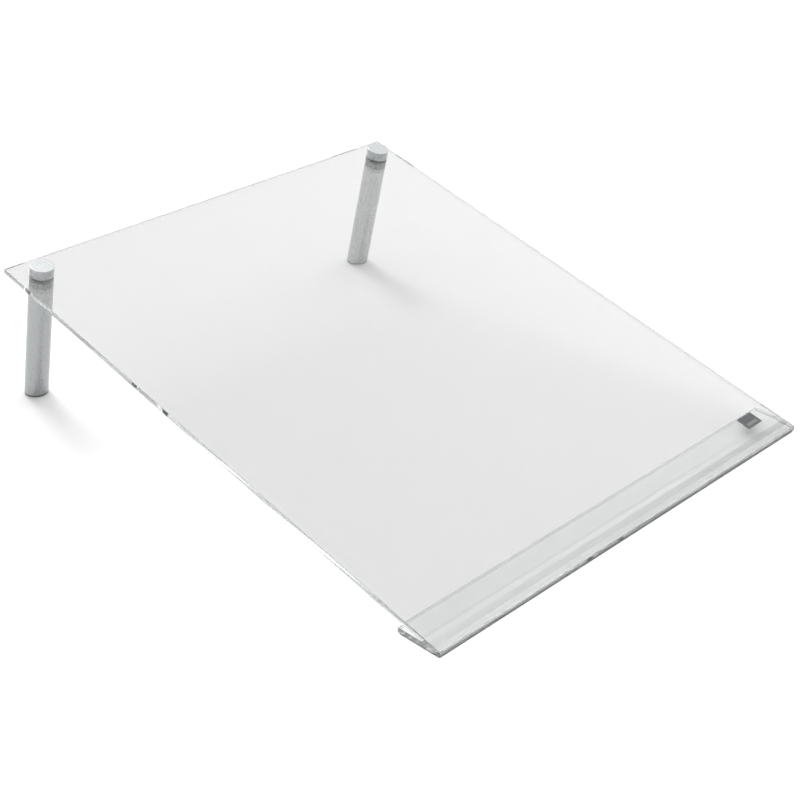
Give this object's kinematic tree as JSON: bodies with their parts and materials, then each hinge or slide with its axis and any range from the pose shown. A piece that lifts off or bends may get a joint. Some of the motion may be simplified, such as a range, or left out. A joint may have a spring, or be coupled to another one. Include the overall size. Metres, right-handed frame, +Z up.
{
  "type": "portable drawing board",
  "caption": "Clear acrylic drawing board sloping to a flat front foot, on round aluminium legs clamped through its rear corners by screw caps.",
  "frame": {"origin": "on the table, under the middle of the board's bounding box", "axes": "+Z up, +Y from the low front edge to the high rear edge, +X to the right for a person at the front edge"},
  "size_m": [0.42, 0.5034, 0.1302],
  "materials": {
    "clear_acrylic": "polished, clear",
    "clear_silicone": "clear, slightly frosted",
    "dark_print": "satin printed film",
    "brushed_aluminium": "fine turned satin",
    "steel": "bright zinc plated",
    "dark_rubber": "matt"
  },
  "bodies": {
    "board": {"drawing_panel": "clear_acrylic", "front_foot": "clear_acrylic", "anti_slip_strip": "clear_silicone", "corner_badge": "dark_print"},
    "left_gasket": {"left_upper_gasket": "dark_rubber"},
    "left_cap": {"left_cap": "brushed_aluminium", "left_stud": "steel"},
    "left_leg": {"left_leg": "brushed_aluminium", "left_foot_pad": "dark_rubber", "left_lower_gasket": "clear_silicone"},
    "right_gasket": {"right_upper_gasket": "dark_rubber"},
    "right_cap": {"right_cap": "brushed_aluminium", "right_stud": "steel"},
    "right_leg": {"right_leg": "brushed_aluminium", "right_foot_pad": "dark_rubber", "right_lower_gasket": "clear_silicone"}
  },
  "joints": [
    {"name": "left_cap_lift", "type": "slide", "parent": "board", "child": "left_gasket", "axis": [0, -0.2377, 0.9713], "range_m": [0, 0.0126]},
    {"name": "left_cap_turn", "type": "hinge", "parent": "left_gasket", "child": "left_cap", "pos_m": [-0.189, 0.21356, 0.11535], "axis": [0, -0.2377, 0.9713], "range_deg": [0, 3600]},
    {"name": "left_leg_pull", "type": "slide", "parent": "board", "child": "left_leg", "axis": [0, 0.2377, -0.9713], "range_m": [0, 0.014]},
    {"name": "right_cap_lift", "type": "slide", "parent": "board", "child": "right_gasket", "axis": [0, -0.2377, 0.9713], "range_m": [0, 0.0126]},
    {"name": "right_cap_turn", "type": "hinge", "parent": "right_gasket", "child": "right_cap", "pos_m": [0.189, 0.21356, 0.11535], "axis": [0, -0.2377, 0.9713], "range_deg": [0, 3600]},
    {"name": "right_leg_pull", "type": "slide", "parent": "board", "child": "right_leg", "axis": [0, 0.2377, -0.9713], "range_m": [0, 0.014]}
  ],
  "couplings": [
    {"joint": "left_cap_lift", "follows": "left_cap_turn", "m_per_rad": 0.00019894},
    {"joint": "right_cap_lift", "follows": "right_cap_turn", "m_per_rad": 0.00019894}
  ]
}
